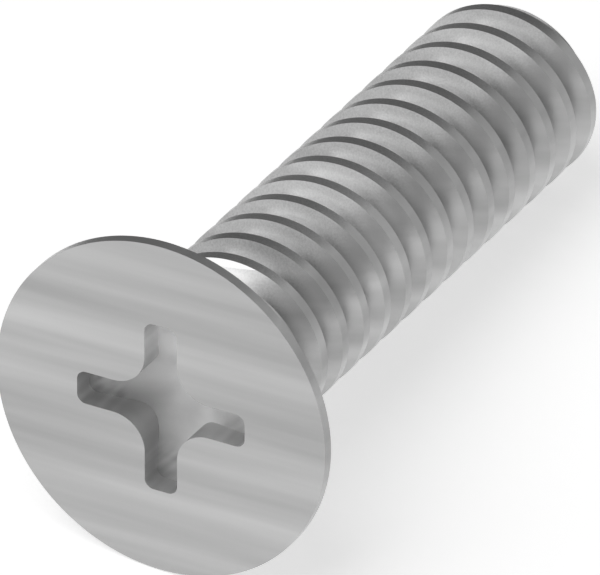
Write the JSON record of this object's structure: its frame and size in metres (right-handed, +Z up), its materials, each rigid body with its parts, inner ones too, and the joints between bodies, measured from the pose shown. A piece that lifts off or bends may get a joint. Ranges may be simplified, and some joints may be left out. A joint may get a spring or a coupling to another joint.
{
  "type": "countersunk machine screw",
  "caption": "Small countersunk machine screw with a flat head, a cross recess and a right-hand thread along the whole shank, lying on its side.",
  "frame": {"origin": "on the ground under the middle of the lying screw's bounding box", "axes": "+X along the screw from head to tip, +Z up; the screw lies on its side, so its own axis slopes 6.9 degrees down towards the tip"},
  "size_m": [0.0062, 0.003, 0.003],
  "materials": {
    "steel": "satin plain steel with fine streaks across the head"
  },
  "bodies": {
    "root": {"screw": "steel"}
  },
  "joints": []
}
